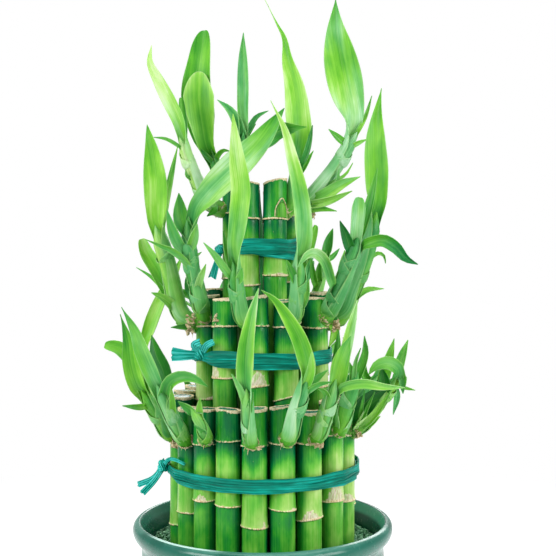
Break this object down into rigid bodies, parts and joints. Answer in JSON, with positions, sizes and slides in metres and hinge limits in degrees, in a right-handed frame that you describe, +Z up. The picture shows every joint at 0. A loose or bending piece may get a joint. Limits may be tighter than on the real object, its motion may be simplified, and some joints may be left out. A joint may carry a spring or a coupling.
{
  "type": "lucky bamboo plant",
  "caption": "Lucky bamboo tower: cut green canes tied with teal raffia in stepped tiers, with leafy shoots, standing in gravel in a round glazed pot.",
  "frame": {"origin": "centre of the pot's flat foot, on the surface it stands on", "axes": "+Z up along the pot's axis, +X to the right seen from the front, -Y towards the front, where the knots of the ties are on the left"},
  "size_m": [0.1501, 0.148, 0.3433],
  "materials": {
    "glaze": "gloss dark teal-green glaze",
    "gravel": "matte fine grey-green stones",
    "cane": "satin living green cane, shoots and leaves with tan node rings and cut edges",
    "raffia": "satin teal raffia strip with fine pleats"
  },
  "bodies": {
    "root": {"gravel": "gravel", "leafy_cane_lower_01": "cane", "leafy_cane_lower_02": "cane", "leafy_cane_lower_03": "cane", "leafy_cane_lower_04": "cane", "leafy_cane_lower_05": "cane", "leafy_cane_lower_06": "cane", "leafy_cane_lower_07": "cane", "leafy_cane_lower_08": "cane", "leafy_cane_lower_09": "cane", "leafy_cane_lower_10": "cane", "leafy_cane_lower_11": "cane", "leafy_cane_lower_12": "cane", "leafy_cane_lower_13": "cane", "leafy_cane_lower_14": "cane", "leafy_cane_lower_15": "cane", "leafy_cane_lower_16": "cane", "leafy_cane_lower_17": "cane", "leafy_cane_lower_18": "cane", "leafy_cane_lower_19": "cane", "leafy_cane_middle_01": "cane", "leafy_cane_middle_02": "cane", "leafy_cane_middle_03": "cane", "leafy_cane_middle_04": "cane", "leafy_cane_middle_05": "cane", "leafy_cane_middle_06": "cane", "leafy_cane_middle_07": "cane", "leafy_cane_middle_08": "cane", "leafy_cane_middle_09": "cane", "leafy_cane_middle_10": "cane", "leafy_cane_middle_11": "cane", "leafy_cane_top_01": "cane", "leafy_cane_top_02": "cane", "leafy_cane_top_03": "cane", "leafy_cane_top_04": "cane", "leafy_cane_top_05": "cane", "leafy_cane_top_06": "cane", "pot": "glaze", "raffia_tie_lower": "raffia", "raffia_tie_middle": "raffia", "raffia_tie_top": "raffia"}
  },
  "joints": []
}
